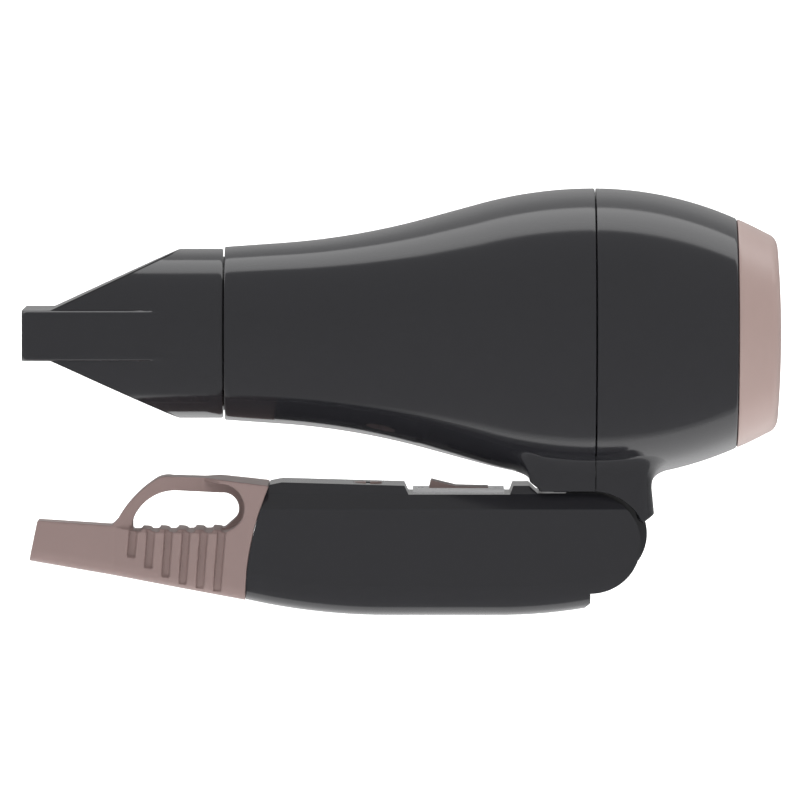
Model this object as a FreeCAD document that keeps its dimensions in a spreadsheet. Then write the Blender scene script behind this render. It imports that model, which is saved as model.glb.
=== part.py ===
import FreeCAD, Part
import math
import os
import Sketcher

# Travel hair dryer, shown folded: the handle lies under the barrel and the dryer stands on its spine.
# X runs along the barrel (nozzle at -X), Y is its width, Z is up, in millimetres.
# The barrel is round about a line along X at the height barrel_z.

SIZES = {
    "barrel_z": 70.0, "wall": 2.0, "rim_round": 0.4,
    # outline of the round barrel
    "mouth_x": -44.4, "mouth_radius": 21.64, "flank_angle": 4.0, "swell_angle": 15.3,
    "waist_radius": 184.5, "shoulder_radius": 107.7, "crown_x": 47.7, "crown_radius": 36.25,
    "stern_radius": 87.9, "seam_x": 48.1, "ring_x": 83.4, "rear_x": 94.6,
    # snout and nozzle
    "snout_x": -53.4, "snout_radius": 19.2, "snout_bore": 17.2, "nozzle_radius": 21.2,
    "nozzle_socket": 19.3, "nozzle_back_x": -44.8, "socket_x": -54.2, "wedge_x": -56.1,
    "wedge_front_x": -87.4, "tip_x": -94.6, "tip_half_height": 6.3, "tip_half_width": 21.4,
    "tip_corner": 2.2, "slot_half_height": 4.2, "nozzle_wall": 1.8,
    # hinge
    "hinge_x": 46.8, "hinge_z": 18.1, "cheek_radius": 12.5, "pin_radius": 2.2, "pin_bore": 2.25,
    "pin_length": 29.0, "pin_bore_length": 29.6, "knuckle_width": 15.0, "knuckle_slot": 15.7,
    "knuckle_sweep": 15.4,
    # neck
    "neck_z": 31.1, "relief_x": 47.3, "relief_z": 17.3, "relief_radius": 13.8, "neck_screw_z": 30.3,
    # handle
    "handle_width": 34.0, "handle_half": 17.0, "handle_inside": 30.0, "handle_top": 32.45,
    "edge_radius": 7.6, "shoulder_z": 26.7, "shoulder_half": 14.5, "section_top": 33.35, "notch_floor": 30.3,
    # switch and selector
    "plate_thick": 1.1, "plate_width": 22.0, "plate_start": 2.6, "plate_length": 22.8,
    "knob_width": 12.0, "dial_x": -8.6, "dial_radius": 3.6, "dial_recess": 3.75, "dial_bottom": 29.6,
    "dial_top": 33.0,
    # gland
    "stem_x": -92.2, "stem_z": 18.33, "stem_tilt": 11.7, "cord_bore": 3.2, "cord_bore_length": 24.0,
    "loop_half": 6.5,
    # works
    "motor_radius": 13.5, "motor_x": 34.0, "motor_length": 26.0, "shaft_radius": 1.0,
    "duct_radius": 29.3, "fan_radius": 27.6, "fan_x": 64.0, "fan_length": 9.5,
    "heater_x": -42.0, "heater_length": 64.0, "heater_half": 16.3, "coil_radius": 13.4,
    "coil_wire": 0.45, "coil_pitch": 5.2, "sleeve_radius": 17.0,
}

V = FreeCAD.Vector
doc = FreeCAD.newDocument("travel_hair_dryer")
sheet = doc.addObject("Spreadsheet::Sheet", "dims")
for row, (alias, value) in enumerate(SIZES.items(), start=1):
    sheet.set(f"A{row}", alias)
    sheet.set(f"B{row}", str(value))
    sheet.setAlias(f"B{row}", alias)
doc.recompute()


def size(alias):
    return float(getattr(sheet, alias))


# ---- lengths written as text, such as "seam_x - 2.5", and bound to the sheet ----

def is_number(word):
    return word.replace(".", "", 1).isdigit()


def terms(text):
    sign = 1
    for word in text.replace("-", " - ").replace("+", " + ").split():
        if word in "+-":
            sign = -sign if word == "-" else sign
            continue
        yield sign, word
        sign = 1


def amount(text):
    return sum(sign * (float(word) if is_number(word) else size(word)) for sign, word in terms(text))


def formula(text):
    parts = []
    for sign, word in terms(text):
        parts.append("-" if sign < 0 else "+")
        parts.append(word if is_number(word) else "dims." + word)
    return " ".join(parts)


def is_bound(text):
    return any(not is_number(word) for _, word in terms(text))


def bind(thing, path, text):
    if is_bound(text):
        thing.setExpression(path, formula(text))


def point(text):
    across, up = text.split(",")
    return V(amount(across), amount(up), 0)


def spot(across, up):
    return f"{across:.4f}, {up:.4f}"


# ---- bodies, sketches and features ----

def new_body(label, height="0"):
    body = doc.addObject("PartDesign::Body", label)
    body.Label = label
    bind(body, "Placement.Base.z", height)
    return body


def held(index, end, text):
    """Constraints that fix one end of a sketch line at a place given as text, each with its length."""
    return [(Sketcher.Constraint(kind, index, end, amount(length)), length)
            for kind, length in zip(("DistanceX", "DistanceY"), text.split(","))]


def constrain(sketch, wanted):
    """Add all of a sketch's constraints at once, and bind those whose lengths come from the sheet."""
    numbers = sketch.addConstraint([constraint for constraint, _ in wanted])
    for number, (_, length) in zip(numbers, wanted):
        if length:
            bind(sketch, f"Constraints[{number}]", length)


def add_circle(sketch, centre, radius):
    index = sketch.addGeometry(Part.Circle(point(centre), V(0, 0, 1), amount(radius)), False)
    return held(index, 3, centre) + [(Sketcher.Constraint("Radius", index, amount(radius)), radius)]


def add_loop(sketch, corners):
    """A closed outline. A corner is "x, y" after a straight, or (middle, end) after an arc."""
    start = here = corners[0]
    edges, wanted = [], []
    for corner in list(corners[1:]) + [start]:
        if isinstance(corner, tuple):
            middle, there = corner
            curve = Part.Arc(point(here), point(middle), point(there))
        else:
            there = corner
            if (point(here) - point(there)).Length < 1e-6:
                continue
            curve = Part.LineSegment(point(here), point(there))
        index = sketch.addGeometry(curve, False)
        forward = (sketch.getPoint(index, 1) - point(here)).Length < 1e-4
        edges.append((index, 1 if forward else 2, 2 if forward else 1, here))
        if isinstance(corner, tuple):
            wanted.append((Sketcher.Constraint("Radius", index, sketch.Geometry[index].Radius), None))
        here = there
    for (index, first, last, text), (following, next_first, _, _) in zip(edges, edges[1:] + edges[:1]):
        wanted += held(index, first, text)
        wanted.append((Sketcher.Constraint("Coincident", index, last, following, next_first), None))
    return wanted


def draw(body, role, *outlines, out="0"):
    """A sketch on one of the body's own planes. A pair is a circle, a list is a closed outline."""
    sketch = body.newObject("Sketcher::SketchObject", body.Name + "_sketch")
    sketch.AttachmentSupport = [(next(f for f in body.Origin.OriginFeatures if f.Role == role), "")]
    sketch.MapMode = "FlatFace"
    sketch.AttachmentOffset = FreeCAD.Placement(V(0, 0, amount(out)), FreeCAD.Rotation())
    bind(sketch, "AttachmentOffset.Base.z", out)
    wanted = []
    for outline in outlines:
        wanted += add_circle(sketch, *outline) if isinstance(outline, tuple) else add_loop(sketch, outline)
    constrain(sketch, wanted)
    doc.recompute()
    return sketch


def feature(body, kind, sketch, length=None, sides="One side", back=False):
    made = body.newObject("PartDesign::" + kind, body.Name + "_" + kind.lower())
    made.Profile = sketch
    before = body.Shape.Volume if not body.Shape.isNull() else 0.0
    if length is None:
        made.ReferenceAxis = (sketch, ["H_Axis"])
        made.Angle = 360.0
    else:
        made.Length = amount(length)
        bind(made, "Length", length)
        made.SideType = sides
        made.Reversed = back
    doc.recompute()
    grows = kind in ("Pad", "Revolution")
    if (body.Shape.Volume > before) != grows:
        raise RuntimeError(f"{made.Name} changed nothing")
    return made


def slab(label, outline, width, height="0"):
    """A side outline in X and Z, drawn out evenly to both sides."""
    body = new_body(label, height)
    feature(body, "Pad", draw(body, "XZ_Plane", outline), width, "Symmetric")
    return body


# ---- part primitives and booleans ----

def rod(label, axis, start, length, radius, height="barrel_z", side="0"):
    """A cylinder along x or y (or standing, z) whose first face is at start."""
    made = doc.addObject("Part::Cylinder", label)
    bind(made, "Radius", radius)
    bind(made, "Height", length)
    made.Radius, made.Height = amount(radius), amount(length)
    turns = {"x": (V(0, 1, 0), 90), "y": (V(1, 0, 0), -90), "z": (V(0, 0, 1), 0)}
    places = {"x": (start, side, height), "y": (side, start, height), "z": (side, "0", start)}
    made.Placement = FreeCAD.Placement(V(*map(amount, places[axis])), FreeCAD.Rotation(*turns[axis]))
    for letter, text in zip("xyz", places[axis]):
        bind(made, f"Placement.Base.{letter}", text)
    return made


def block(label, corner, extent):
    made = doc.addObject("Part::Box", label)
    made.Placement.Base = V(*map(amount, corner))
    for letter, text in zip("xyz", corner):
        bind(made, f"Placement.Base.{letter}", text)
    for name, text in zip(("Length", "Width", "Height"), extent):
        setattr(made, name, amount(text))
        bind(made, name, text)
    return made


def fuse(label, pieces):
    made = doc.addObject("Part::MultiFuse", label)
    made.Shapes = list(pieces)
    return made


def cut(label, base, *tools):
    made = doc.addObject("Part::Cut", label)
    made.Base = base
    made.Tool = tools[0] if len(tools) == 1 else fuse(label + "_tools", tools)
    return made


def common(label, one, other):
    made = doc.addObject("Part::Common", label)
    made.Base, made.Tool = one, other
    return made


def group(label, pieces):
    made = doc.addObject("Part::Compound", label)
    made.Links = list(pieces)
    return made


def tube(label, start, length, outside, inside):
    return cut(label, rod(label + "_outside", "x", start, length, outside),
               rod(label + "_inside", "x", start, length, inside))


def ring_of(count, maker):
    """Pieces spaced evenly about the barrel's axis; maker(number) makes each one at the axis."""
    pieces = []
    for number in range(count):
        piece = maker(number)
        spin = FreeCAD.Rotation(V(1, 0, 0), 360.0 * number / count)
        turn = FreeCAD.Placement(V(0, 0, size("barrel_z")), spin)
        piece.Placement = turn.multiply(piece.Placement)
        pieces.append(piece)
    return pieces


def round_edges(label, base, radius, chosen):
    """Round the edges of base that chosen(edge) picks."""
    doc.recompute()
    made = doc.addObject("Part::Fillet", label)
    made.Base = base
    picked = [number for number, edge in enumerate(base.Shape.Edges, start=1) if chosen(edge)]
    made.Edges = [(number, amount(radius), amount(radius)) for number in picked]
    doc.recompute()
    return made


# ---- outline of the barrel ----

def flank_line(inset):
    """Corners of the barrel's outline from the mouth to its crown, moved inwards by inset."""
    flank, swell = math.radians(size("flank_angle")), math.radians(size("swell_angle"))
    waist, shoulder = size("waist_radius"), size("shoulder_radius")
    crown_x, crown = size("crown_x"), size("crown_radius")
    front_x, front = size("mouth_x"), size("mouth_radius")
    swell_x = crown_x - shoulder * math.sin(swell)
    swell_r = crown - shoulder + shoulder * math.cos(swell)
    meet_x = (swell_r - front - math.tan(swell) * swell_x + math.tan(flank) * front_x)
    meet_x /= math.tan(flank) - math.tan(swell)
    meet_r = front + math.tan(flank) * (meet_x - front_x)
    reach = waist * math.tan((swell - flank) / 2)
    centre_x = meet_x - reach * math.cos(flank) - waist * math.sin(flank)
    centre_r = meet_r - reach * math.sin(flank) + waist * math.cos(flank)

    def on_waist(angle):
        bend = waist + inset
        return spot(centre_x + bend * math.sin(angle), centre_r - bend * math.cos(angle))

    def on_shoulder(angle):
        bend = shoulder - inset
        return spot(crown_x - bend * math.sin(angle), crown - shoulder + bend * math.cos(angle))

    start_x = front_x + 0.5 + 2 * inset
    start = spot(start_x, front - inset / math.cos(flank) + math.tan(flank) * (start_x - front_x))
    return [start, on_waist(flank), (on_waist((flank + swell) / 2), on_waist(swell)),
            on_shoulder(swell), (on_shoulder(swell / 2), on_shoulder(0))]


def stern(x, inset=0.0):
    """A place on the barrel's outline behind its crown, moved inwards by inset."""
    radius = size("stern_radius") - inset
    across = x - size("crown_x")
    return spot(x, size("crown_radius") - inset - radius + math.sqrt(radius ** 2 - across ** 2))


# ---- housing ----

NECK_FRONT = ["20, 39.2 - barrel_z", ("26.6, 36.9 - barrel_z", "31.7, 32.9 - barrel_z"),
              "33.9, neck_z - barrel_z", "hinge_x, neck_z - barrel_z"]
NECK_REAR = ["59.8, 23.1 - barrel_z", "62.8, 25.1 - barrel_z", "62.2, 31.4 - barrel_z",
             ("63.2, 34.4 - barrel_z", "67.5, 37.0 - barrel_z")]


NECK_SCREW_X = "54"
NECK_SCREWS = {"left": "-9.9", "right": "9.9"}


def relief(angle, above=0.0):
    """A place on the round relief over the handle's cheeks, or a little above it."""
    turn, radius = math.radians(angle), size("relief_radius") + above
    across, up = size("relief_x") + radius * math.cos(turn), size("relief_z") + radius * math.sin(turn)
    return f"{across:.4f}, {up:.4f} - barrel_z"


def turning(label, outline):
    body = new_body(label, "barrel_z")
    feature(body, "Revolution", draw(body, "XZ_Plane", outline))
    return body


def neck_block(label, outline, plan):
    """A piece of the neck: its side outline, rounded off in plan."""
    side = slab(label + "_side", outline, "handle_width", "barrel_z")
    above = new_body(label + "_plan", "barrel_z")
    feature(above, "Pad", draw(above, "XY_Plane", plan), "120", "Symmetric")
    return common(label, side, above)


def front_shell():
    outside = turning("front_outside", [
        "snout_x, 0", "snout_x, snout_radius - 0.5", "snout_x + 0.5, snout_radius", "mouth_x, snout_radius",
        "mouth_x, mouth_radius - 0.5"] + flank_line(0.0) +
        ["seam_x - rim_round, crown_radius", "seam_x, crown_radius - rim_round", "seam_x, 0"])
    neck = neck_block("front_neck", NECK_FRONT + ["seam_x, neck_z - barrel_z", "seam_x, 45 - barrel_z",
                                                  "20, 45 - barrel_z"],
                      ["19, -1", ("23.5, -12.2", "35, -17"), "seam_x, -17", "seam_x, 17", "35, 17",
                       ("23.5, 12.2", "19, 1")])
    hollow = turning("front_hollow", ["snout_x - 1, 0", "snout_x - 1, snout_bore", "-43, snout_bore"] +
                     flank_line(size("wall")) + ["seam_x + 1, crown_radius - wall", "seam_x + 1, 0"])
    neck_hollow = slab("front_neck_hollow", ["28, 41 - barrel_z", "35.2, 33.2 - barrel_z",
                       "seam_x + 1, 33.2 - barrel_z", "seam_x + 1, 41 - barrel_z"], "26", "barrel_z")
    slot = slab("front_neck_slot", ["36.4, 28 - barrel_z", "36.4, 35 - barrel_z", "seam_x + 1, 35 - barrel_z",
                "seam_x + 1, 28 - barrel_z"], "knuckle_width + 0.1", "barrel_z")
    cut("front_shell", fuse("front_blank", [outside, neck]), hollow, neck_hollow, slot)


def rear_shell():
    ring_x, seam_x = size("ring_x"), size("seam_x")
    middle_x = (seam_x + ring_x) / 2
    outside = turning("rear_outside", [
        "seam_x, 0", "seam_x, crown_radius - rim_round", "seam_x + rim_round, crown_radius - 0.02",
        (stern(middle_x), stern(ring_x)), "ring_x, 0"])
    neck = neck_block("rear_neck", ["seam_x, neck_z - barrel_z", (relief(57), relief(25))] + NECK_REAR +
                      ["67.5, 45 - barrel_z", "seam_x, 45 - barrel_z"],
                      ["seam_x, -17", "57, -17", ("64.5, -13.5", "68, -6"), "68, 6", ("64.5, 13.5", "57, 17"),
                       "seam_x, 17"])
    wall = size("wall")
    hollow = turning("rear_hollow", ["seam_x - 1, 0", "seam_x - 1, crown_radius - wall", stern(seam_x, wall),
                                     (stern(middle_x, wall), stern(ring_x + 0.2, wall)), "ring_x + 0.2, 0"])
    neck_hollow = slab("rear_neck_hollow", ["seam_x - 1, 41 - barrel_z", "seam_x - 1, 33.2 - barrel_z",
                       (relief(70, 2.2), relief(40, 2.2)), "60.2, 31.4 - barrel_z", "60.2, 41 - barrel_z"],
                       "24", "barrel_z")
    slot = slab("rear_neck_slot", ["seam_x - 1, 20 - barrel_z", "seam_x - 1, 35 - barrel_z",
                "57.85, 35 - barrel_z", "57.85, 28.4 - barrel_z",
                ("60.54, 24 - barrel_z", "61.17, 20 - barrel_z")], "knuckle_width + 0.1", "barrel_z")
    holes = [rod(f"neck_screw_hole_{name}", "z", "neck_screw_z", "3.4", "1.05", side=NECK_SCREW_X)
             for name in NECK_SCREWS]
    for hole, side in zip(holes, NECK_SCREWS.values()):
        hole.Placement.Base = V(amount(NECK_SCREW_X), amount(side), hole.Placement.Base.z)
    cut("rear_shell", fuse("rear_blank", [outside, neck]), hollow, neck_hollow, slot, *holes)


def rear_grille():
    body = turning("rear_grille", [
        "ring_x + 0.05, 23.4", "ring_x + 0.05, 28.35", "ring_x + 0.5, 28.5", ("87.4, 27.2", "90.8, 25.35"),
        ("92.4, 24.5", "93.1, 22.8"), ("94.2, 11.5", "rear_x - 0.05, 2.4"), "rear_x, 1.9", "rear_x, 0",
        "rear_x - 1.8, 0", "rear_x - 1.8, 2", ("92.45, 11.5", "91.5, 21.6"), "90.4, 22.9"])
    pitch, rib, first, slots = 1.5, 0.85, 2.6, 13
    circles = []
    for number in range(slots):
        start = first + pitch * number
        circles += [("0, 0", f"{start:.3f}"), ("0, 0", f"{start + pitch - rib:.3f}")]
    feature(body, "Pocket", draw(body, "YZ_Plane", *circles, out="rear_x + 1"), "6")
    feature(body, "Pad", draw(body, "YZ_Plane", *spokes(6, 0, 0.7, 1.9, 22.0), out="91.3"), "1.85")


def spokes(count, first, half, inner, outer):
    """Outlines of evenly spaced radial bars."""
    corners = ((-half, inner), (-half, outer), (half, outer), (half, inner))
    return [[spot(*turned(across, up, first + 360 / count * number)) for across, up in corners]
            for number in range(count)]


def turned(across, up, degrees):
    turn = math.radians(degrees)
    return across * math.cos(turn) - up * math.sin(turn), across * math.sin(turn) + up * math.cos(turn)


def lint_screen():
    body = new_body("lint_screen", "barrel_z")
    feature(body, "Pad", draw(body, "YZ_Plane", ("0, 0", "22.6"), out="88.6"), "0.6")
    cells = []
    pitch, half, reach = 4.4, 1.8, 19.0
    for column in range(-4, 5):
        for line in range(-4, 5):
            y, z = column * pitch, line * pitch
            if math.hypot(y, z) < reach:
                cells.append([spot(y + across * half, z + up * half)
                              for across, up in ((-1, -1), (1, -1), (1, 1), (-1, 1))])
    feature(body, "Pocket", draw(body, "YZ_Plane", *cells, out="90"), "3")
    return body


def outlet_grille():
    body = new_body("outlet_grille", "barrel_z")
    feature(body, "Pad", draw(body, "YZ_Plane", ("0, 0", "snout_bore - 0.05"), out="snout_x + 0.6"), "1.6")
    circles = []
    pitch, gap, first = 3.5, 2.5, 2.4
    for number in range(4):
        start = first + pitch * number
        circles += [("0, 0", f"{start:.3f}"), ("0, 0", f"{start + gap:.3f}")]
    feature(body, "Pocket", draw(body, "YZ_Plane", *circles, out="snout_x + 4"), "6")
    feature(body, "Pad", draw(body, "YZ_Plane", *spokes(6, 30, 0.6, 1.5, 16.6), out="snout_x + 0.6"), "1.6")


def heater():
    half = size("heater_length") / 2
    upright = block("upright_blank", ("heater_x", "-0.3", "barrel_z - heater_half"),
                    ("heater_length", "0.6", "heater_half + heater_half"))
    flat = block("flat_blank", ("heater_x", "0 - heater_half", "barrel_z - 0.3"),
                 ("heater_length", "heater_half + heater_half", "0.6"))
    cut("mica_board_upright", upright, block("upright_slot", (f"heater_x + {half}", "-2", "barrel_z - 0.3"),
                                             (f"{half + 1}", "4", "0.6")))
    cut("mica_board_flat", flat, block("flat_slot", ("heater_x - 1", "-0.3", "barrel_z - 2"),
                                       (f"{half + 1}", "0.6", "4")))
    turns = []
    for number in range(11):
        turn = doc.addObject("Part::Torus", f"coil_turn_{number}")
        bind(turn, "Radius1", "coil_radius")
        bind(turn, "Radius2", "coil_wire")
        turn.Placement = FreeCAD.Placement(V(), FreeCAD.Rotation(V(0, 1, 0), 90))
        turn.setExpression("Placement.Base.x", f"dims.heater_x + 4 + {number} * dims.coil_pitch")
        turn.setExpression("Placement.Base.z", "dims.barrel_z")
        turns.append(turn)
    group("heater_coils", turns)
    tube("mica_sleeve", "-50.5", "73", "sleeve_radius", "sleeve_radius - 0.45")
    block("thermostat", ("4", "0.3", "barrel_z + 1"), ("10", "3.8", "8"))
    rod("thermal_fuse", "x", "2", "9", "1.5", "barrel_z + 5", "-1.85")


def motor():
    can = tube("motor_wall", "motor_x", "motor_length", "motor_radius", "motor_radius - 1.2")
    back = cut("motor_back",
               rod("motor_back_blank", "x", "motor_x + motor_length - 1.2", "1.2", "motor_radius - 0.6"),
               rod("motor_back_hole", "x", "motor_x + motor_length - 2", "3", "shaft_radius + 0.05"))
    fuse("motor_can", [can, back])
    cap = fuse("cap_blank", [rod("cap_disc", "x", "motor_x - 2.4", "2.4", "motor_radius - 0.4"),
                             rod("cap_post_one", "x", "28.6", "4", "1.4", "barrel_z + 8", "0"),
                             rod("cap_post_two", "x", "28.6", "4", "1.4", "barrel_z - 8", "0")])
    cut("motor_end_cap", cap, rod("cap_hole", "x", "motor_x - 1.6", "3", "shaft_radius + 0.05"))
    shaft = rod("shaft", "x", "motor_x - 1.5", "fan_x + fan_length - motor_x + 1.5", "shaft_radius")
    fuse("armature", [shaft, rod("armature_core", "x", "motor_x + 5", "motor_length - 9", "motor_radius - 1.9")])
    block("rectifier_board", ("27", "-9", "barrel_z - 10.5"), ("1.6", "18", "21"))
    group("diodes", [
        rod(f"diode_{number}", "y", "-2.5", "5", "1.25", f"barrel_z + {7 - 4.6 * number:.1f}", "25.75")
        for number in range(4)])

    def vane(number):
        made = doc.addObject("Part::Box", f"vane_{number}")
        made.Length, made.Width, made.Height = 16, 1.2, 15.2
        made.Placement.Base = V(42, -0.6, 13.9)
        return made
    walls = [tube("duct_ring", "40", "34.6", "duct_radius", "duct_radius - 0.8"),
             tube("duct_cup", "38", "21", "motor_radius + 0.9", "motor_radius")]
    fuse("fan_duct", walls + ring_of(7, vane))

    def blade(number):
        made = doc.addObject("Part::Box", f"blade_{number}")
        thick, chord, span, root, pitch = 1.1, 12.5, 20.5, 8.6, 52
        made.Length, made.Width, made.Height = thick, chord, span
        middle = V(size("fan_x") + size("fan_length") / 2, 0, 0)
        tilt = FreeCAD.Placement(middle, FreeCAD.Rotation(V(0, 0, 1), pitch))
        made.Placement = tilt.multiply(FreeCAD.Placement(V(-thick / 2, -chord / 2, root), FreeCAD.Rotation()))
        return made
    blades = fuse("blade_set", ring_of(9, blade))
    trimmed = common("blades_trimmed", blades, rod("blade_sweep", "x", "fan_x", "fan_length", "fan_radius"))
    hub = rod("hub_drum", "x", "fan_x", "fan_length", "9.4")
    cut("fan_impeller", fuse("fan_blank", [hub, trimmed]),
        rod("hub_bore", "x", "fan_x - 1", "fan_length + 2", "shaft_radius"))


def hinge():
    outline = ["38, 33.6", ("42.5, 27.5", "39.4, 14.3"), ("47.1, 8.9", "58.4, 12.9"),
               ("60.95, 21.5", "57.6, 28.4"), "57.6, 33.6"]
    knuckle = slab("knuckle_blank", outline, "knuckle_width")
    hole = rod("knuckle_hole", "y", "-10", "20", "pin_radius", "hinge_z", "hinge_x")
    cut("hinge_knuckle", knuckle, hole)
    rod("hinge_pin", "y", "-14.5", "pin_length", "pin_radius", "hinge_z", "hinge_x")
    group("neck_screws", [neck_screw(f"neck_screw_{name}", side) for name, side in NECK_SCREWS.items()])


def neck_screw(label, side):
    """A short pan-head screw driven down into the neck's floor."""
    shank = rod(label + "_shank", "z", "neck_screw_z + 0.1", "2.6", "0.95", side=NECK_SCREW_X)
    head = rod(label + "_head", "z", "neck_screw_z + 2.7", "1.3", "1.9", side=NECK_SCREW_X)
    for piece in (shank, head):
        piece.Placement.Base = V(amount(NECK_SCREW_X), amount(side), piece.Placement.Base.z)
    return fuse(label, [shank, head])


# ---- nozzle ----

def nozzle():
    reach, front = size("nozzle_radius") - 0.3, size("wedge_front_x")
    slope = (reach - size("tip_half_height")) / (size("wedge_x") - front)

    def wedge(label, inset, back):
        low = size("tip_half_height") - inset * math.sqrt(1 + slope ** 2)
        high = low + slope * (back - front)
        behind = back + 30
        return slab(label, [spot(front, -low), spot(back, -high), spot(behind, -high), spot(behind, high),
                            spot(back, high), spot(front, low)], "60", "barrel_z")
    barrel = rod("nozzle_round", "x", "wedge_front_x", "nozzle_back_x - wedge_front_x", "nozzle_radius")
    outer_wedge = common("nozzle_wedge", barrel, wedge("nozzle_wedge_side", 0.0, size("wedge_x")))
    bar = new_body("nozzle_bar", "barrel_z")
    plan = ["tip_x, tip_corner - tip_half_width",
            ("tip_x + 0.65, 0.65 - tip_half_width", "tip_x + tip_corner, 0 - tip_half_width"),
            "-66, 0 - tip_half_width", "-55.5, 0.9 - tip_half_width", "-55.5, tip_half_width - 0.9",
            "-66, tip_half_width", "tip_x + tip_corner, tip_half_width",
            ("tip_x + 0.65, tip_half_width - 0.65", "tip_x, tip_half_width - tip_corner")]
    feature(bar, "Pad", draw(bar, "XY_Plane", plan), "tip_half_height + tip_half_height", "Symmetric")

    def long_side(edge):
        box = edge.BoundBox
        outside = abs(abs(box.Center.y) - size("tip_half_width")) < 1.2
        return outside and box.XLength > 3 and box.ZLength < 0.01
    soft_bar = round_edges("nozzle_bar_soft", bar, "1.6", long_side)
    outer = fuse("nozzle_outside", [outer_wedge, soft_bar])
    inner_round = rod("nozzle_inner_round", "x", "-90", "socket_x + 90", "nozzle_radius - nozzle_wall")
    inner_wedge = common("nozzle_inner_wedge", inner_round,
                         wedge("nozzle_inner_side", size("nozzle_wall"), size("wedge_x") - 0.9))
    slot = block("nozzle_slot", ("tip_x - 1", "2 - tip_half_width", "barrel_z - slot_half_height"),
                 ("36", "tip_half_width + tip_half_width - 4", "slot_half_height + slot_half_height"))
    socket = rod("nozzle_socket_bore", "x", "socket_x", "12", "nozzle_socket")
    cut("nozzle", outer, fuse("nozzle_inside", [inner_wedge, slot, socket]))


# ---- handle ----

SPINE = ["45.3, 1.75", ("35.9, 0.55", "26, 0"), "-3, 0", ("-21.4, 1.0", "-39.1, 4.0")]
JOINT_LINE = ("-37.4, 19.0", "-33.1, 32.7")


def handle():
    outline = ["-30, 33.3", "0.6, handle_top", "31.6, handle_top", "33.6, 30.6", "hinge_x, 30.6",
               ("hinge_x + 8.84, hinge_z + 8.84", "hinge_x + cheek_radius, hinge_z"),
               ("hinge_x + 8.84, hinge_z - 8.84", "hinge_x, 5.6"), "hinge_x, 3.1"] + SPINE + [JOINT_LINE]
    solid = slab("handle_block", outline, "handle_width")

    def spine_edge(edge):
        box = edge.BoundBox
        side = abs(abs(box.Center.y) - size("handle_half")) < 0.01 and box.YLength < 0.01
        return side and box.ZMax < 4.1 and box.XLength > 5 and box.XMax < 46
    spined = round_edges("handle_spined", solid, "edge_radius", spine_edge)
    section = new_body("handle_section")
    feature(section, "Pad", draw(section, "YZ_Plane", [
        "0 - handle_half, -10", "0 - handle_half, shoulder_z", "0 - shoulder_half, notch_floor + 0.1",
        "1.2 - shoulder_half, section_top", "shoulder_half - 1.2, section_top",
        "shoulder_half, notch_floor + 0.1", "handle_half, shoulder_z", "handle_half, -10"], out="-45"), "120")
    soft = common("handle_soft", spined, section)
    inner = ["-30.5, 27.8", "29.2, 27.8", "29.2, 12", "30, 5.2", "26, 4.2", "-3, 4.2", "-30.5, 6.4"]
    upper = ["-30.5, 27", "-30.5, 31.0", "-13.4, 30.4", "-13.4, 28.9", "-3.6, 28.9", "-3.6, 28.3", "29.2, 28.3",
             "29.2, 27"]
    hollow = fuse("handle_hollow", [slab("hollow_low", inner, "handle_inside"), slab("hollow_high", upper, "25")])
    channel = slab("handle_channel", ["-45, 17.5", "-45, 9.5", "-28, 9.5", "-28, 17.5"], "8")
    notch = slab("handle_notch", ["0.5, 34", "0.5, handle_top", "1.5, notch_floor", "26.8, notch_floor",
                                  "27.6, handle_top", "27.6, 34"], "handle_width + 2")
    stem_slot = block("stem_slot", ("8", "-1.9", "27"), ("12", "3.8", "5"))
    recess = rod("dial_recess_bore", "z", "dial_bottom - 0.2", "6", "dial_recess", side="dial_x")
    dial_hole = rod("dial_stem_hole", "z", "26", "6", "1.65", side="dial_x")
    sweep = common("knuckle_space",
                   rod("knuckle_round", "y", "-20", "40", "knuckle_sweep", "hinge_z", "hinge_x"),
                   block("knuckle_gap", ("20", "0 - 7.85", "-5"), ("50", "knuckle_slot", "45")))
    lead_path = block("lead_path", ("24", "-5", "9"), ("12", "10", "14"))
    pin_bore = rod("pin_bore_hole", "y", "-14.8", "pin_bore_length", "pin_bore", "hinge_z", "hinge_x")
    shell = cut("handle_shell", soft, hollow, channel, notch, stem_slot, recess, dial_hole, sweep, lead_path,
                pin_bore)
    common("handle_left", shell, block("left_space", ("-60", "-30", "-5"), ("140", "30", "50")))
    common("handle_right", shell, block("right_space", ("-60", "0", "-5"), ("140", "30", "50")))


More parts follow.
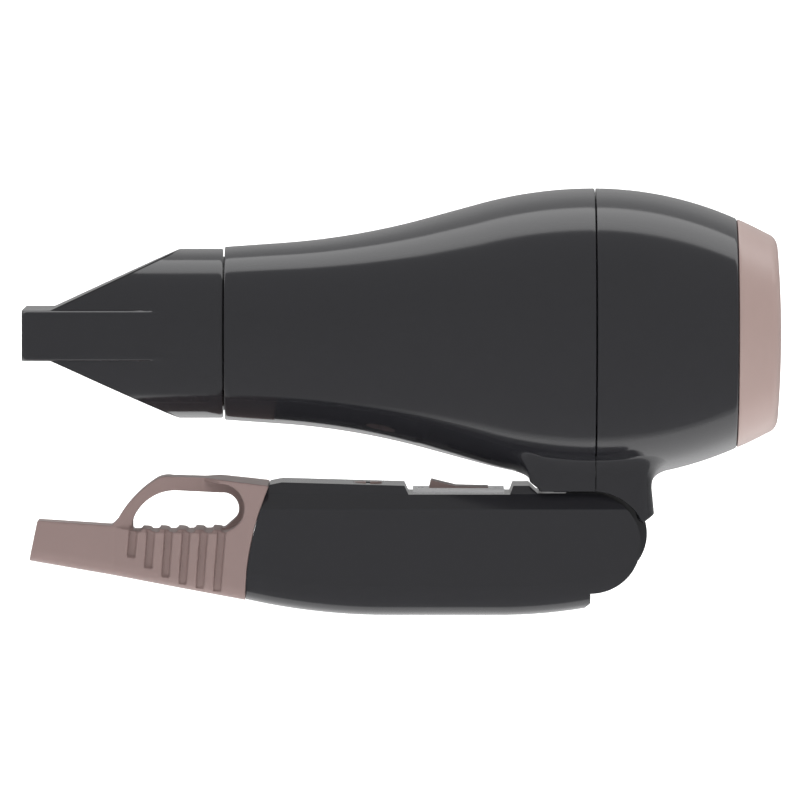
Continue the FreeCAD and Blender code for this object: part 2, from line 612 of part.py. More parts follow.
def end_piece():
    outline = ["-91.15, 23.4", "-72.6, 22.15", "-71.2, 23.5", ("-67, 29.2", "-62, 33.4"),
               ("-60, 34.35", "-57.5, 34.4"), "-45.3, 34.0", "-33.15, 32.6",
               ("-37.45, 19.0", "-39.15, 4.0"), "-93.25, 13.25"]
    side = slab("end_side", outline, "handle_width")
    plan_body = new_body("end_plan")
    plan = ["-95, -5.3", "-72, -6.6", ("-52, -13.5", "-38, -17"), "-30, -17", "-30, 17", "-38, 17",
            ("-52, 13.5", "-72, 6.6"), "-95, 5.3"]
    feature(plan_body, "Pad", draw(plan_body, "XY_Plane", plan), "100", "Symmetric")
    blank = common("end_blank", side, plan_body)
    window = slab("end_window", ["-67.3, 21.2", "-67.4, 23.2", ("-62.4, 29.4", "-56.6, 30.95"), "-45.3, 30.4",
                                 ("-41.2, 28.2", "-41.6, 24"), "-44.1, 21.8", "-45.5, 21.2"], "60")
    scoop_line = ["-76, 22.4", "-67.3, 21.2", "-45.5, 21.2", ("-40.9, 22.9", "-39.4, 26.4"),
                  ("-40.5, 30.6", "-45, 33.0"), "-58, 34.5", "-76, 40"]
    scoops = []
    for name, start in (("near", "loop_half"), ("far", "-30 - loop_half")):
        body = new_body(f"end_scoop_{name}")
        feature(body, "Pad", draw(body, "XZ_Plane", scoop_line, out=start), "30")
        scoops.append(body)
    blank = cut("end_cut", blank, window, *scoops)

    def low_edge(edge):
        box = edge.BoundBox
        return box.ZMax < 13.5 and box.XLength > 5 and abs(box.Center.y) > 2
    soft = round_edges("end_soft", blank, "3.2", low_edge)
    tilt = math.radians(size("stem_tilt"))
    bore = doc.addObject("Part::Cylinder", "cord_bore_hole")
    bind(bore, "Radius", "cord_bore")
    bind(bore, "Height", "cord_bore_length + 2")
    inward = V(math.cos(tilt), 0, -math.sin(tilt))
    bore.Placement = FreeCAD.Placement(V(size("stem_x"), 0, size("stem_z")) - inward * 2,
                                       FreeCAD.Rotation(V(0, 0, 1), inward))
    run = rod("cord_run", "x", "-70", "45", "cord_bore + 0.5", "13.4")
    pocket = block("clamp_pocket", ("-50", "-6.5", "8.2"), ("20", "13", "9"))
    grooves = []
    half, deep, over = 1.05, 0.7, 24
    for number, low_z in enumerate((14.2, 11.6, 9.4, 7.7, 6.7, 6.0)):
        top_x, low_x = -66.9 + 4.42 * number, -67.7 + 4.3 * number
        grooves.append(slab(f"rib_groove_{number}", [
            spot(top_x - half, over), spot(low_x - half, low_z + 0.5), spot(low_x + half, low_z - 0.2),
            spot(top_x + half, over)], "60"))
    core = new_body("groove_core")
    inner_plan = ["-95, -4.6", f"-72, {-6.6 + deep}", (f"-52, {-13.5 + deep}", f"-38, {-17 + deep}"),
                  f"-30, {-17 + deep}", f"-30, {17 - deep}", f"-38, {17 - deep}",
                  (f"-52, {13.5 - deep}", f"-72, {6.6 - deep}"), "-95, 4.6"]
    feature(core, "Pad", draw(core, "XY_Plane", inner_plan), "100", "Symmetric")
    skin = cut("groove_skin", fuse("groove_blocks", grooves), core)
    cut("end_piece", soft, bore, run, pocket, skin)
    clamp = block("clamp_blank", ("-48", "-6.2", "8.4"), ("8", "12.4", "8.4"))
    cut("cord_clamp", clamp, rod("clamp_hole", "x", "-50", "14", "cord_bore - 0.3", "13.4"))


# ---- small controls ----

def controls():
    plate = block("plate_blank", ("plate_start", "-11", "notch_floor"),
                  ("plate_length", "plate_width", "plate_thick"))
    holes = [rod(f"plate_hole_{number}", "z", "notch_floor - 1", "3", "0.75", side=x)
             for number, x in enumerate(("4.6", "23.6"))]
    cut("switch_plate", plate, block("plate_slot", ("8", "-1.9", "notch_floor - 1"), ("12", "3.8", "3")),
        *holes)
    knob = slab("knob_wedge", ["6.7, 31.55", "7.05, 33.15", ("7.25, 33.45", "7.6, 33.4"),
                               "13.4, 31.98", "21.4, 31.8", "21.4, 31.55"], "knob_width")
    stem = block("knob_stem", ("12.2", "-1.5", "24.8"), ("3.6", "3", "7"))
    fuse("switch_slider", [knob, stem])
    switch = block("switch_blank", ("4", "-7", "17"), ("20", "14", "11.2"))
    cut("switch_body", switch, block("switch_well", ("8", "-1.9", "24.4"), ("12", "3.8", "6")))
    dial = fuse("dial_blank", [
        rod("dial_drum", "z", "dial_bottom", "dial_top - dial_bottom", "dial_radius", side="dial_x"),
        rod("dial_stem", "z", "25.4", "5", "1.55", side="dial_x")])

    def top_rim(edge):
        return edge.BoundBox.ZMin > size("dial_top") - 0.01
    soft_dial = round_edges("dial_soft", dial, "0.5", top_rim)
    cut("voltage_dial", soft_dial,
        block("dial_slot", ("dial_x - 0.55", "-5", "dial_top - 0.9"), ("1.1", "10", "3")))
    selector = block("selector_blank", ("dial_x - 4.5", "-5", "19"), ("9", "10", "8.8"))
    cut("selector_body", selector, rod("selector_well", "z", "25", "5", "1.65", side="dial_x"))
    block("terminal_board", ("-27", "-8", "8"), ("14", "16", "1.6"))
    leads = [rod(f"lead_{number}", "x", "-26", "30", "0.8", "10.4", str(side))
             for number, side in enumerate((-4, 0, 4))]
    group("handle_leads", leads)
    group("handle_screws", [rod(f"handle_screw_{number}", "y", "-15", "30", "1.5", z, x) for number, (x, z)
                            in enumerate((("-25", "24"), ("1.5", "6.5"), ("26.8", "14")))])


front_shell()
rear_shell()
rear_grille()
lint_screen()
outlet_grille()
heater()
motor()
hinge()
nozzle()
handle()
end_piece()
controls()
doc.recompute()

NODES = [
    "front_shell", "rear_shell", "rear_grille", "lint_screen", "outlet_grille", "mica_board_upright",
    "mica_board_flat", "heater_coils", "mica_sleeve", "thermostat", "thermal_fuse", "rectifier_board",
    "diodes", "fan_duct", "motor_can", "motor_end_cap", "armature", "fan_impeller", "hinge_knuckle", "hinge_pin",
    "neck_screws", "nozzle", "handle_left", "handle_right", "end_piece", "cord_clamp", "switch_plate",
    "switch_body", "switch_slider", "selector_body", "voltage_dial", "terminal_board", "handle_leads",
    "handle_screws",
]

for thing in doc.Objects:
    bad = [word for word in thing.State if word in ("Invalid", "Error")]
    if bad:
        raise RuntimeError(f"{thing.Name}: {bad}")

os.makedirs("parts", exist_ok=True)
for node in NODES:
    made = doc.getObject(node)
    made.Label = node
    shape = made.Shape
    if shape.isNull() or not shape.isValid() or not shape.Solids:
        raise RuntimeError(f"{node} has no valid shape")
    print(f"{node:20s} solids {len(shape.Solids):2d} volume {shape.Volume:9.1f} box {shape.BoundBox}")
    shape.exportStep(f"parts/{node}.step")
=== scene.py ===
import math

import bmesh
import bpy
from mathutils import Matrix, Vector


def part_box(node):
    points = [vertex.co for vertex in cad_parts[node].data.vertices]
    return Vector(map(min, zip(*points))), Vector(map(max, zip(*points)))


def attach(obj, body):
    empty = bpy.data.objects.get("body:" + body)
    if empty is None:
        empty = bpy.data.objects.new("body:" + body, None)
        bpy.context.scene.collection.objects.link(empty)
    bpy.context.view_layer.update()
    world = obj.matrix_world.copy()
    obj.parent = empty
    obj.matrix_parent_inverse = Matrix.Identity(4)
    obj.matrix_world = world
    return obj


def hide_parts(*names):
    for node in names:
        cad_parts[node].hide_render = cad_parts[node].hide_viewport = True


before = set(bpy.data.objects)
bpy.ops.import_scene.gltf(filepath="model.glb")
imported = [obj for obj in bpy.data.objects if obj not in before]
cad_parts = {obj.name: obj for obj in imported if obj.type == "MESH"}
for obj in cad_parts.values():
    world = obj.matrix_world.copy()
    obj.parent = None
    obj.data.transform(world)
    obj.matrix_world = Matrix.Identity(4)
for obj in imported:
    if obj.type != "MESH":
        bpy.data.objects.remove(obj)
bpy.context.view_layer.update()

# Sizes are in millimetres, in the CAD frame, and turn to metres as a mesh is made. The studio is in metres.
MM = 0.001

# ---- places read from the frame ----
front_low, front_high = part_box("front_shell")
rear_low, rear_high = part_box("rear_shell")
grille_low, grille_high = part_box("rear_grille")
BARREL_Z = (grille_low.z + grille_high.z) / 2 / MM
CROWN = front_high.y / MM
SNOUT_X = front_low.x / MM
SEAM_X = rear_low.x / MM
RING_X = rear_high.x / MM
REAR_X = grille_high.x / MM
HANDLE_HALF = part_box("handle_right")[1].y / MM

# ---- the barrel's outline ----
MOUTH_X, MOUTH_R = -44.4, 21.64
FLANK, SWELL = math.radians(4.0), math.radians(15.3)
WAIST_R, SHOULDER_R, STERN_R, CROWN_X = 184.5, 107.7, 87.9, 47.7
SWELL_X = CROWN_X - SHOULDER_R * math.sin(SWELL)
SWELL_R = CROWN - SHOULDER_R + SHOULDER_R * math.cos(SWELL)


def waist():
    """Where the waist's arc starts and ends, and its centre."""
    meet_x = SWELL_R - MOUTH_R - math.tan(SWELL) * SWELL_X + math.tan(FLANK) * MOUTH_X
    meet_x /= math.tan(FLANK) - math.tan(SWELL)
    meet_r = MOUTH_R + math.tan(FLANK) * (meet_x - MOUTH_X)
    reach = WAIST_R * math.tan((SWELL - FLANK) / 2)
    start_x = meet_x - reach * math.cos(FLANK)
    centre_x = start_x - WAIST_R * math.sin(FLANK)
    centre_r = meet_r - reach * math.sin(FLANK) + WAIST_R * math.cos(FLANK)
    return start_x, meet_x + reach * math.cos(SWELL), centre_x, centre_r


WAIST_START, WAIST_END, WAIST_X, WAIST_Y = waist()


def barrel_radius(x):
    """The barrel's outline: straight flank, waist, straight swell, shoulder, stern."""
    if x < WAIST_START:
        return MOUTH_R + math.tan(FLANK) * (x - MOUTH_X)
    if x < WAIST_END:
        return WAIST_Y - math.sqrt(WAIST_R ** 2 - (x - WAIST_X) ** 2)
    if x < SWELL_X:
        return SWELL_R + math.tan(SWELL) * (x - SWELL_X)
    bend = SHOULDER_R if x < CROWN_X else STERN_R
    return CROWN - bend + math.sqrt(bend ** 2 - (x - CROWN_X) ** 2)


# ---- mesh making ----

def finish_mesh(name, mesh, body, node, angle):
    """A piece with smooth faces and sharp edges above the angle, riding on a body in place of a CAD node."""
    made = bpy.data.objects.new(name, mesh)
    bpy.context.scene.collection.objects.link(made)
    for polygon in mesh.polygons:
        polygon.use_smooth = True
    mesh.set_sharp_from_angle(angle=math.radians(angle))
    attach(made, body)
    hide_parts(node)
    return made


def clean(work):
    bmesh.ops.remove_doubles(work, verts=work.verts, dist=1e-7)
    bmesh.ops.recalc_face_normals(work, faces=work.faces)


def to_mesh(work, name):
    clean(work)
    mesh = bpy.data.meshes.new(name)
    work.to_mesh(mesh)
    work.free()
    return mesh


def metres(x, y, z):
    return Vector((x, y, z)) * MM


def rounded(points, radius, steps):
    """A flat outline with each corner that turns more than a little replaced by a small arc."""
    made = []
    count = len(points)
    for number, here in enumerate(points):
        before, after = points[number - 1], points[(number + 1) % count]
        a = Vector(before) - Vector(here)
        b = Vector(after) - Vector(here)
        if a.length < 1e-9 or b.length < 1e-9 or math.pi - a.angle(b) < math.radians(20):
            made.append(here)
            continue
        cut = min(radius, a.length * 0.45, b.length * 0.45)
        first, last = Vector(here) + a.normalized() * cut, Vector(here) + b.normalized() * cut
        for step in range(steps + 1):
            t = step / steps
            blend = first * (1 - t) ** 2 + Vector(here) * 2 * t * (1 - t) + last * t ** 2
            made.append((blend.x, blend.y))
    return made


def lathe(work, outline, segments=144):
    """Turn a closed outline of (x, radius) about the barrel's axis."""
    rings = []
    for segment in range(segments):
        turn = 2 * math.pi * segment / segments
        rings.append([work.verts.new(metres(x, r * math.sin(turn), BARREL_Z + r * math.cos(turn)))
                      for x, r in outline])
    for number, ring in enumerate(rings):
        other = rings[(number + 1) % segments]
        for corner in range(len(outline)):
            following = (corner + 1) % len(outline)
            if outline[corner][1] < 1e-6 and outline[following][1] < 1e-6:
                continue
            face = [ring[corner], ring[following], other[following], other[corner]]
            if outline[corner][1] < 1e-6:
                face = face[:3]
            elif outline[following][1] < 1e-6:
                face = [ring[corner], ring[following], other[corner]]
            work.faces.new(face)


def grid(work, rows):
    """Faces over rows of points."""
    made = [[work.verts.new(point) for point in row] for row in rows]
    for first, second in zip(made, made[1:]):
        for left in range(len(first) - 1):
            work.faces.new((first[left], first[left + 1], second[left + 1], second[left]))


# ---- materials ----

def shader(name):
    material = bpy.data.materials.new(name)
    material.use_nodes = True
    nodes = material.node_tree.nodes
    return material, nodes, material.node_tree.links, nodes["Principled BSDF"]


def mixed(nodes, links, factor, low, high):
    mix = nodes.new("ShaderNodeMix")
    mix.data_type = "RGBA"
    links.new(factor, mix.inputs["Factor"])
    mix.inputs["A"].default_value = (*low, 1)
    mix.inputs["B"].default_value = (*high, 1)
    return mix.outputs["Result"]


def noise(nodes, links, scale, detail=3.0, stretch=(1, 1, 1)):
    """Noise laid over the object's own coordinates, in metres."""
    place = nodes.new("ShaderNodeTexCoord")
    spread = nodes.new("ShaderNodeMapping")
    spread.inputs["Scale"].default_value = stretch
    links.new(place.outputs["Object"], spread.inputs["Vector"])
    texture = nodes.new("ShaderNodeTexNoise")
    texture.inputs["Scale"].default_value = scale
    texture.inputs["Detail"].default_value = detail
    links.new(spread.outputs["Vector"], texture.inputs["Vector"])
    return texture.outputs["Fac"]


def ranged(nodes, links, value, low, high, start=0.3, end=0.7):
    spread = nodes.new("ShaderNodeMapRange")
    spread.inputs["From Min"].default_value = start
    spread.inputs["From Max"].default_value = end
    spread.inputs["To Min"].default_value = low
    spread.inputs["To Max"].default_value = high
    links.new(value, spread.inputs["Value"])
    return spread.outputs["Result"]


def plastic(name, colour, rough, spread=0.03, shift=0.06, grain=0.02, grain_scale=2600,
            specular=0.5):
    """Moulded plastic: faint colour flow, uneven polish and a fine moulded grain."""
    material, nodes, links, bsdf = shader(name)
    low = tuple(channel * (1 - shift) for channel in colour)
    high = tuple(min(channel * (1 + shift), 1) for channel in colour)
    links.new(mixed(nodes, links, noise(nodes, links, 45, 4), low, high), bsdf.inputs["Base Color"])
    polish = ranged(nodes, links, noise(nodes, links, 90, 5), rough - spread, rough + spread)
    links.new(polish, bsdf.inputs["Roughness"])
    bump = nodes.new("ShaderNodeBump")
    bump.inputs["Strength"].default_value = grain
    bump.inputs["Distance"].default_value = 0.0001
    links.new(noise(nodes, links, grain_scale, 2), bump.inputs["Height"])
    links.new(bump.outputs["Normal"], bsdf.inputs["Normal"])
    bsdf.inputs["Specular IOR Level"].default_value = specular
    return material


def metal(name, colour, rough, stretch, scale):
    """Metal with a drawn or brushed grain along the axis that is stretched least."""
    material, nodes, links, bsdf = shader(name)
    bsdf.inputs["Metallic"].default_value = 1.0
    grain = noise(nodes, links, scale, 3, stretch)
    low = tuple(channel * 0.9 for channel in colour)
    links.new(mixed(nodes, links, grain, low, colour), bsdf.inputs["Base Color"])
    links.new(ranged(nodes, links, grain, rough - 0.05, rough + 0.08), bsdf.inputs["Roughness"])
    bump = nodes.new("ShaderNodeBump")
    bump.inputs["Strength"].default_value = 0.05
    bump.inputs["Distance"].default_value = 0.00005
    links.new(grain, bump.inputs["Height"])
    links.new(bump.outputs["Normal"], bsdf.inputs["Normal"])
    return material


def layered(name, low, high, rough, scale, stretch):
    """Sheet or laminate with a flecked, layered look."""
    material, nodes, links, bsdf = shader(name)
    fleck = noise(nodes, links, scale, 6, stretch)
    links.new(mixed(nodes, links, ranged(nodes, links, fleck, 0, 1), low, high), bsdf.inputs["Base Color"])
    links.new(ranged(nodes, links, fleck, rough + 0.1, rough - 0.1), bsdf.inputs["Roughness"])
    return material


CHARCOAL = plastic("charcoal_gloss", (0.0185, 0.0185, 0.0215), 0.11, 0.015, 0.05, 0.01)
ROSE = plastic("rose_satin", (0.40, 0.292, 0.268), 0.34, 0.03, 0.035, 0.03)
TAUPE = plastic("taupe_satin", (0.290, 0.211, 0.199), 0.42, 0.03, 0.035, 0.04, specular=0.25)
BLACK = plastic("black_moulded", (0.012, 0.012, 0.013), 0.5, 0.05, 0.15, 0.08, 1800)
SCREEN = plastic("screen_moulded", (0.018, 0.018, 0.02), 0.6, 0.05, 0.15, 0.1, 1500)
SILVER = metal("silver_brushed", (0.80, 0.80, 0.81), 0.24, (0.04, 1, 1), 2400)
STEEL = metal("turned_steel", (0.56, 0.56, 0.58), 0.3, (1, 0.08, 0.08), 1800)
COIL = metal("heater_wire", (0.34, 0.31, 0.29), 0.4, (1, 1, 1), 3000)
COPPER = metal("lead_copper", (0.72, 0.36, 0.2), 0.3, (0.1, 1, 1), 2500)
MICA = layered("mica_sheet", (0.42, 0.36, 0.26), (0.66, 0.6, 0.48), 0.4, 260, (1, 1, 1))
BOARD = layered("board_laminate", (0.03, 0.09, 0.04), (0.05, 0.14, 0.07), 0.42, 700, (1, 6, 1))

CAD_MATERIALS = {
    "lint_screen": SCREEN, "outlet_grille": BLACK, "mica_board_upright": MICA, "mica_board_flat": MICA,
    "heater_coils": COIL, "mica_sleeve": MICA, "thermostat": STEEL, "thermal_fuse": STEEL,
    "rectifier_board": BOARD, "diodes": BLACK, "fan_duct": BLACK, "motor_can": STEEL, "motor_end_cap": BLACK,
    "armature": STEEL, "fan_impeller": BLACK, "hinge_knuckle": CHARCOAL, "hinge_pin": STEEL,
    "neck_screws": STEEL, "nozzle": CHARCOAL, "handle_left": CHARCOAL, "handle_right": CHARCOAL,
    "end_piece": TAUPE, "cord_clamp": BLACK, "switch_plate": SILVER, "switch_body": BLACK,
    "switch_slider": TAUPE, "selector_body": BLACK, "voltage_dial": ROSE, "terminal_board": BOARD,
    "handle_leads": COPPER, "handle_screws": STEEL, "front_shell": CHARCOAL, "rear_shell": CHARCOAL,
    "rear_grille": ROSE,
}


def paint(thing, material):
    thing.data.materials.clear()
    thing.data.materials.append(material)


def soften(thing, width, segments=3, angle=35):
    """Round the sharp edges of a CAD piece and shade it smooth between them."""
    bevel = thing.modifiers.new("edges", "BEVEL")
    bevel.width = width * MM
    bevel.segments = segments
    bevel.limit_method = "ANGLE"
    bevel.angle_limit = math.radians(angle)
    bevel.harden_normals = True
    bevel.use_clamp_overlap = True


def dress_cad():
    for node, material in CAD_MATERIALS.items():
        paint(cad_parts[node], material)
    for node, width in (("handle_left", 0.35), ("handle_right", 0.35), ("hinge_knuckle", 0.4),
                        ("switch_plate", 0.12), ("switch_slider", 0.25), ("voltage_dial", 0.12)):
        soften(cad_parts[node], width)
    for node in ("switch_plate", "switch_slider"):
        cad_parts[node].visible_glossy = False


# ---- barrel shells ----

NECK_LOW, ARC_START, ARC_END, TAIL_LOW, TAIL_SLOPE = 31.1, 46.8, 59.8, 23.1, 2 / 3
RELIEF_X, RELIEF_Z, RELIEF_R = 47.3, 17.3, 13.8
NECK_FRONT, NECK_REAR, FRONT_CORNER, REAR_CORNER = 33.9, 62.7, 1.2, 5.3


def neck_floor(x):
    """Height of the neck's lower edge, which arches over the hinge and rises again behind it."""
    if x < ARC_START:
        return NECK_LOW
    if x < ARC_END:
        return max(TAIL_LOW, RELIEF_Z + math.sqrt(max(RELIEF_R ** 2 - (x - RELIEF_X) ** 2, 0)))
    return TAIL_LOW + (x - ARC_END) * TAIL_SLOPE


# How far the end walls lean, along and up, where they meet the flare into the barrel.
FRONT_LEAN, REAR_LEAN = (-2.2, 1.8), (-0.6, 6.2)
# The rounded lower edge of the wall, as steps inward and upward.
LOWER_EDGE = ((2.4, 0.5), (0.55, 0.0), (0.2, 0.12), (0.04, 0.35), (0, 0.6))


def barrel_under(x, y):
    """Height of the barrel's lower surface."""
    return BARREL_Z - math.sqrt(max(barrel_radius(x) ** 2 - y ** 2, 0.01))


def neck_side(spine, front, flares):
    """The neck's skin: rows up its wall that flare into the barrel. spine holds (x, y, nx, ny)."""
    side_flare, end_flare = flares
    columns = []
    for x, y, nx, ny in spine:
        end = max(-nx if front else nx, 0) ** 2
        out_x, out_z = (lean * end for lean in (FRONT_LEAN if front else REAR_LEAN))
        floor = neck_floor(x)
        column = []
        for inset, rise in LOWER_EDGE:
            column.append(metres(x - nx * inset, y - ny * inset, floor + rise))
        wall = Vector((x + out_x, y, floor + 0.6 + out_z))
        flare = side_flare + (end_flare - side_flare) * end
        under = barrel_under(wall.x, wall.y)
        start = Vector((wall.x, wall.y, max(under - flare, wall.z)))
        reach_x, reach_y = wall.x + nx * flare, wall.y + ny * flare
        finish = Vector((reach_x, reach_y, barrel_under(reach_x, reach_y) + 0.06))
        corner = Vector((wall.x, wall.y, under))
        column.append(wall * MM)
        for step in range(11):
            t = step / 10
            place = start * (1 - t) ** 2 + corner * 2 * t * (1 - t) + finish * t ** 2
            column.append(place * MM)
        columns.append(column)
    return columns


def corner_arc(cx, cy, radius, start, end, steps):
    """Plan points with outward normals round a corner."""
    made = []
    for step in range(steps + 1):
        turn = math.radians(start + (end - start) * step / steps)
        across, along = math.cos(turn), math.sin(turn)
        made.append((cx + radius * across, cy + radius * along, across, along))
    return made


def straight(x0, y0, x1, y1, nx, ny, steps):
    return [(x0 + (x1 - x0) * k / steps, y0 + (y1 - y0) * k / steps, nx, ny) for k in range(1, steps)]


def neck_spine(near, end_x, corner, side_steps, arc_steps):
    """Plan points round one half of the neck, from the seam on one side to the seam on the other."""
    half = HANDLE_HALF - 0.02
    facing = 1 if end_x > near else -1
    corner_x = end_x - facing * corner
    return [(near, -half, 0, -1)] + straight(near, -half, corner_x, -half, 0, -1, side_steps) + \
        corner_arc(corner_x, corner - half, corner, 270, 270 + 90 * facing, arc_steps) + \
        straight(end_x, corner - half, end_x, half - corner, facing, 0, 8) + \
        corner_arc(corner_x, half - corner, corner, 90 - 90 * facing, 90, arc_steps) + \
        straight(corner_x, half, near, half, 0, 1, side_steps) + [(near, half, 0, 1)]


def barrel_line(start, end, steps):
    """The barrel's outline between two places, a hair inside the CAD surface."""
    places = [start + (end - start) * k / steps for k in range(steps + 1)]
    return [(x, barrel_radius(x) - 0.01) for x in places]


def shell_object(name, outline, spine, front, flares, node):
    """A turned half of the barrel with its half of the neck."""
    work = bmesh.new()
    lathe(work, rounded(outline, 0.35, 3))
    columns = neck_side(spine, front, flares)
    grid(work, columns)
    half = len(columns) // 2
    lower = [column[0] for column in columns]
    rows = [[a.lerp(b, t / 6) for t in range(7)] for a, b in zip(lower[:half + 1], reversed(lower[half:]))]
    grid(work, rows)
    for column, across in ((columns[0], 1), (columns[-1], -1)):
        inner = [point + metres(0, across * NECK_WALL, 0) for point in column]
        grid(work, [column, inner])
    mesh = to_mesh(work, name)
    made = finish_mesh(name, mesh, "housing", node, 32)
    paint(made, CHARCOAL)


SEAM_GAP, SHELL_WALL, NECK_WALL = 0.12, 2.0, 1.6
SNOUT_BORE, SNOUT_R, SNOUT_BACK, WALL_START = 17.25, 19.15, -43, -41


def barrel_shells():
    mouth = MOUTH_X + 0.05
    outer = barrel_line(mouth, SEAM_X - SEAM_GAP, 56)
    inner = [(x, r - SHELL_WALL) for x, r in reversed(outer) if x > WALL_START]
    snout = [(SNOUT_BACK, SNOUT_BORE), (SNOUT_X, SNOUT_BORE), (SNOUT_X, SNOUT_R), (mouth, SNOUT_R)]
    spine = neck_spine(SEAM_X - SEAM_GAP, NECK_FRONT, FRONT_CORNER, 6, 8)
    shell_object("front_shell_skin", outer + inner + snout, spine, True, (3.2, 9.5), "front_shell")

    outer = barrel_line(SEAM_X + SEAM_GAP, RING_X - 0.05, 40)
    inner = [(x, r - SHELL_WALL) for x, r in reversed(outer)]
    spine = neck_spine(SEAM_X + SEAM_GAP, NECK_REAR, REAR_CORNER, 10, 12)
    shell_object("rear_shell_skin", outer + inner, spine, False, (3.2, 5.0), "rear_shell")


# ---- rear grille ----

DOME_RISE, DOME_R, FACE_R = 0.9, 21.5, 21.9
RING_R, RING_RUN, RING_DROP, RING_BEND, RING_CORNER = 28.42, 7.15, 3.0, 0.45, (93.25, 24.25)
RIB_PITCH, RIB_HALF, RIB_DEPTH, FIRST_RIB, HUB_R = 1.25, 0.36, 1.5, 21.0, 2.3
SPOKES, SPOKE_HALF, SPOKE_TOP, SPOKE_BACK, SPOKE_END = 12, 0.45, 0.45, 1.7, 22.2


def dome_x(r):
    """The grille's domed outer face."""
    return REAR_X - 0.02 - DOME_RISE * (r / DOME_R) ** 2


def ring_side():
    """The ring's outline from the barrel to the grille's face: a slow curve, then a rounded corner."""
    made = []
    for step in range(13):
        t = step / 12
        made.append((RING_X + 0.55 + RING_RUN * t, RING_R - RING_DROP * t - RING_BEND * t * t))
    start, corner, end = Vector(made[-1]), Vector(RING_CORNER), Vector((dome_x(FACE_R), FACE_R))
    for step in range(1, 10):
        t = step / 9
        place = start * (1 - t) ** 2 + corner * 2 * t * (1 - t) + end * t ** 2
        made.append((place.x, place.y))
    return made


def rear_grille():
    work = bmesh.new()
    start = RING_X + SEAM_GAP
    outline = [(start, 24.0), (start, 28.2), (RING_X + 0.25, 28.38)] + ring_side() + \
        [(dome_x(FACE_R) - 0.25, 21.7), (dome_x(FACE_R) - 1.7, 21.65), (89.8, 22.6), (88.0, 24.0)]
    lathe(work, outline, 176)
    radius = FIRST_RIB
    while radius > HUB_R + 0.1:
        x = dome_x(radius)
        side = [(x - RIB_DEPTH, RIB_HALF), (x - 0.35, RIB_HALF), (x - 0.1, RIB_HALF * 0.7)]
        rib = [(place, radius - out) for place, out in side] + [(x, radius)] + \
            [(place, radius + out) for place, out in reversed(side)]
        lathe(work, rib, 128)
        radius -= RIB_PITCH
    hub = [(REAR_X - 1.9, 0), (REAR_X - 1.9, HUB_R), (REAR_X - 0.35, HUB_R), (REAR_X - 0.05, 1.9),
           (REAR_X - 0.02, 0)]
    lathe(work, hub, 64)
    for number in range(SPOKES):
        turn = Matrix.Rotation(2 * math.pi * number / SPOKES, 4, "X")
        inner = 2.0 if number % 2 == 0 else 9.0
        for r0, r1 in zip((inner, 15.0), (15.0, SPOKE_END)):
            corners = [Vector((dome_x(r) - depth, side, r)) for r in (r0, r1)
                       for side in (-SPOKE_HALF, SPOKE_HALF) for depth in (SPOKE_TOP, SPOKE_BACK)]
            points = [work.verts.new(((turn @ c) + Vector((0, 0, BARREL_Z))) * MM) for c in corners]
            for face in ((0, 1, 3, 2), (4, 6, 7, 5), (0, 4, 5, 1), (2, 3, 7, 6), (0, 2, 6, 4), (1, 5, 7, 3)):
                work.faces.new([points[k] for k in face])
    bmesh.ops.recalc_face_normals(work, faces=work.faces)
    mesh = bpy.data.meshes.new("rear_grille_skin")
    work.to_mesh(mesh)
    work.free()
    made = finish_mesh("rear_grille_skin", mesh, "housing", "rear_grille", 34)
    paint(made, ROSE)


# ---- nozzle ----

NOZZLE_R, NOZZLE_BACK, WEDGE_FRONT, WEDGE_BACK = 21.2, -44.82, -87.4, -56.1
TIP_X, TIP_HALF, TIP_WIDE, TIP_CORNER, TIP_EDGE = -94.58, 6.3, 21.4, 1.7, 1.5
WEDGE_TOP, NOZZLE_BORE, NOZZLE_WALL, THROAT_X, SOCKET_X = 20.9, 19.3, 2.1, -56, -54.2
PANEL_STEP, PANEL_INSET, FADE_X, FADE_LENGTH, FADE_DEPTH = 0.35, 1.1, -68.0, 13.0, 1.5


def nozzle_height(x):
    """Half height of the nozzle's upper outline: flat bar, sloping wedge, then level."""
    if x < WEDGE_FRONT:
        return TIP_HALF
    slope = (WEDGE_TOP - TIP_HALF) / (WEDGE_BACK - WEDGE_FRONT)
    return min(TIP_HALF + slope * (x - WEDGE_FRONT), WEDGE_TOP + 0.2)


def nozzle_width(x):
    """Half width of the flat bar, which draws in until the round part swallows it."""
    if x < TIP_X + TIP_CORNER:
        return TIP_WIDE - TIP_CORNER + math.sqrt(max(TIP_CORNER ** 2 - (x - TIP_X - TIP_CORNER) ** 2, 0))
    fade = min(max((x - FADE_X) / FADE_LENGTH, 0), 1)
    return TIP_WIDE - FADE_DEPTH * fade ** 2


